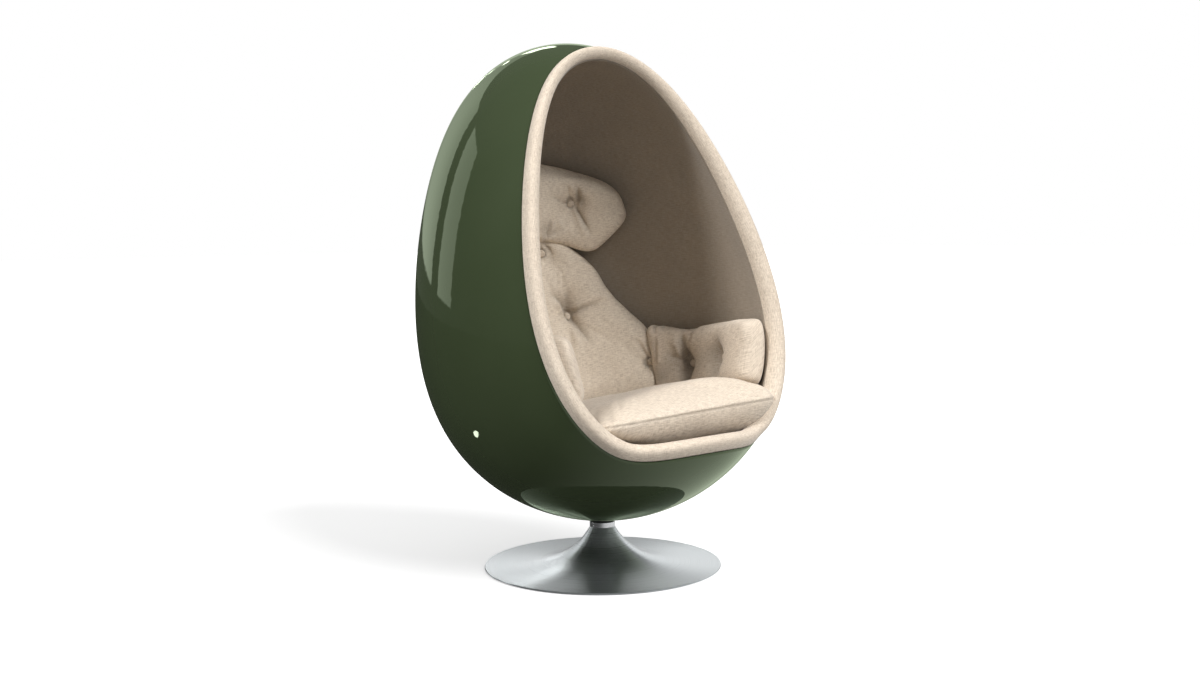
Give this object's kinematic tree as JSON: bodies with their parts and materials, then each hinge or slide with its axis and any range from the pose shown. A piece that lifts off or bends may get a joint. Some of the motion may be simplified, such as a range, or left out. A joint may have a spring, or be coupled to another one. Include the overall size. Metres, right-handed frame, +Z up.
{
  "type": "chair",
  "caption": "Egg-shaped swivel pod chair: a glossy green shell open at the front, upholstered inside in beige fabric with loose and buttoned cushions, on a round brushed-metal trumpet base",
  "frame": {"origin": "on the floor, on the swivel axis", "axes": "+Z up along the swivel axis; -Y the way the open front faces; +X the sitter's left"},
  "size_m": [0.859, 0.8279, 1.2414],
  "materials": {
    "green_gel_coat": "high gloss",
    "brushed_metal": "brushed round the axis",
    "plain_steel": "bright, lightly oiled",
    "bearing_bronze": "satin",
    "beech_plywood": "sanded, bare",
    "black_rubber": "matt",
    "beige_fabric": "open linen-like weave",
    "white_foam": "open cell foam",
    "grey_felt": "pressed felt"
  },
  "bodies": {
    "base": {"floor_felt": "grey_felt", "ballast_plate": "plain_steel", "column_flange": "plain_steel", "column_tube": "plain_steel", "column_weld": "plain_steel", "flange_screws": "plain_steel", "base_trumpet": "brushed_metal", "lower_bush": "bearing_bronze", "upper_bush": "bearing_bronze", "lower_race": "plain_steel"},
    "bearing": {"ball_cage": "bearing_bronze", "bearing_balls": "plain_steel"},
    "seat": {"upper_race": "plain_steel", "neck_collar": "brushed_metal", "spindle": "plain_steel", "retaining_ring": "plain_steel", "retaining_washer": "plain_steel", "seat_gasket": "black_rubber", "outer_shell": "green_gel_coat", "mounting_pad": "beech_plywood", "hub_plate": "plain_steel", "hub_washers": "plain_steel", "hub_bolts": "plain_steel", "hub_nut": "plain_steel", "deck_bearers": "beech_plywood", "seat_deck": "beech_plywood", "deck_screws": "plain_steel", "deck_pad": "white_foam", "lining_foam": "white_foam", "lining_fabric": "beige_fabric", "rim_roll": "beige_fabric", "seat_cushion": "beige_fabric", "back_cushion": "beige_fabric", "head_cushion": "beige_fabric", "left_arm_cushion": "beige_fabric", "right_arm_cushion": "beige_fabric", "back_buttons": "beige_fabric", "head_buttons": "beige_fabric", "arm_buttons": "beige_fabric"}
  },
  "joints": [
    {"name": "swivel", "type": "hinge", "parent": "base", "child": "seat", "pos_m": [0, 0, 0], "axis": [0, 0, 1], "continuous": true},
    {"name": "bearing_turn", "type": "hinge", "parent": "base", "child": "bearing", "pos_m": [0, 0, 0], "axis": [0, 0, 1], "continuous": true}
  ],
  "couplings": [
    {"joint": "bearing_turn", "follows": "swivel", "ratio": 0.5}
  ]
}
